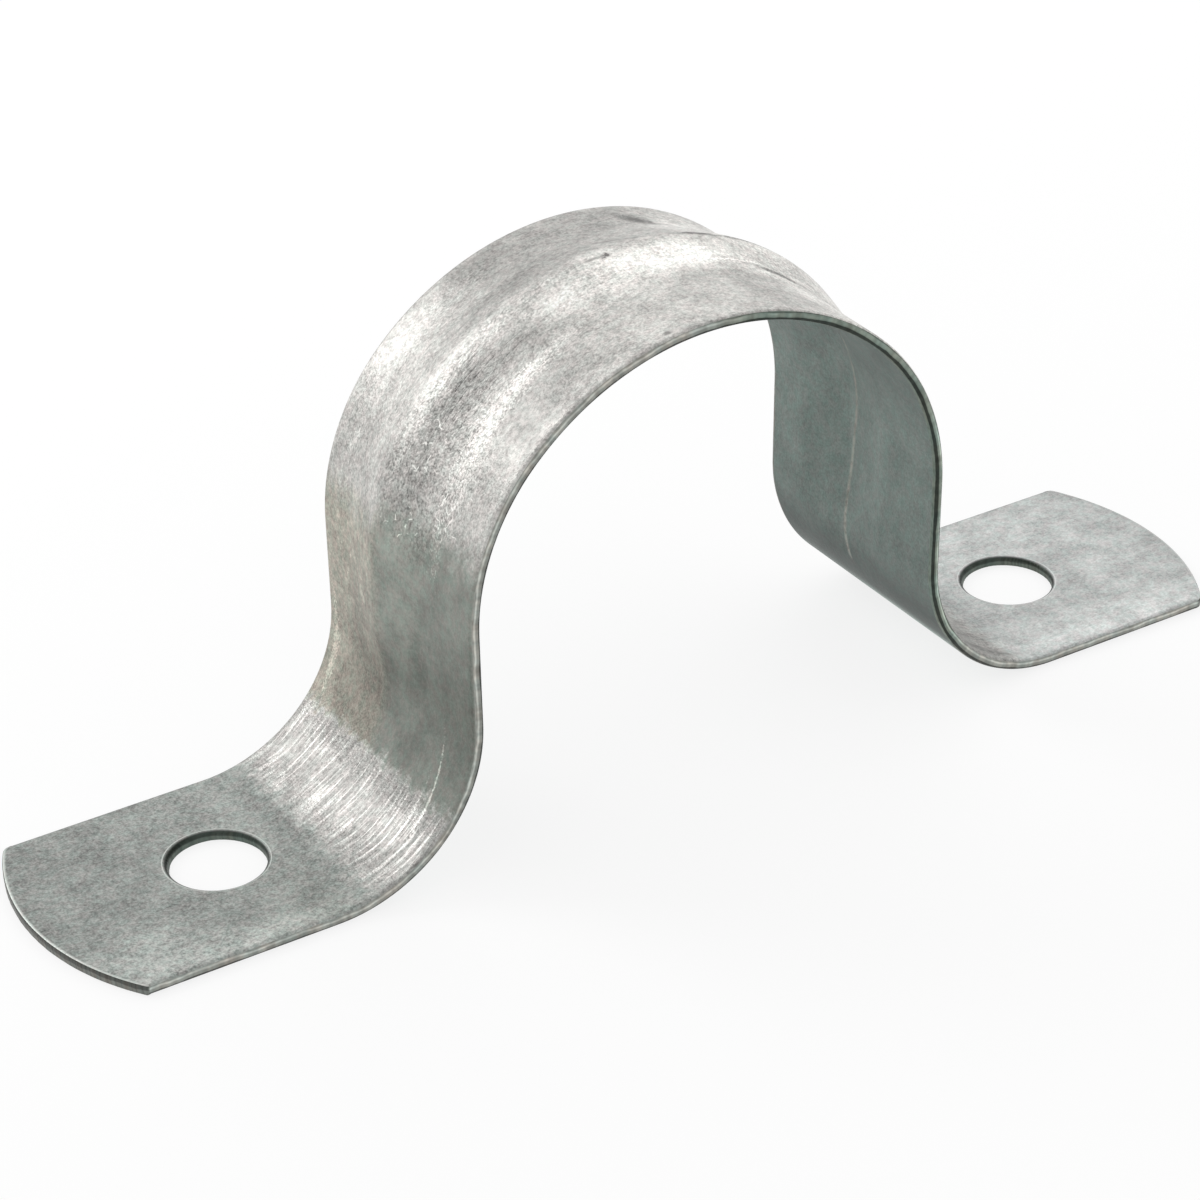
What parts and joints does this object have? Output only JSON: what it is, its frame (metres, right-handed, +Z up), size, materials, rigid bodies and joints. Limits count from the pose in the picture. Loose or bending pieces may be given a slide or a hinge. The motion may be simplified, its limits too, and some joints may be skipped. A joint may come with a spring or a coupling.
{
  "type": "conduit strap",
  "caption": "Two-hole conduit strap: a ribbed strip of galvanised sheet folded over a round conduit, with a flat screw foot on each side.",
  "frame": {"origin": "in the mounting surface, midway between the tips of the feet and between the edges of the strip", "axes": "+X along the strap from foot to foot, +Y across the strip and along the conduit, +Z up, away from the surface"},
  "size_m": [0.099, 0.0206, 0.039],
  "materials": {
    "galvanised_steel": "zinc-coated sheet, satin and finely mottled, scuffed bright where the press tools rub, dull dark sheared edges"
  },
  "bodies": {
    "root": {"strap": "galvanised_steel"}
  },
  "joints": []
}
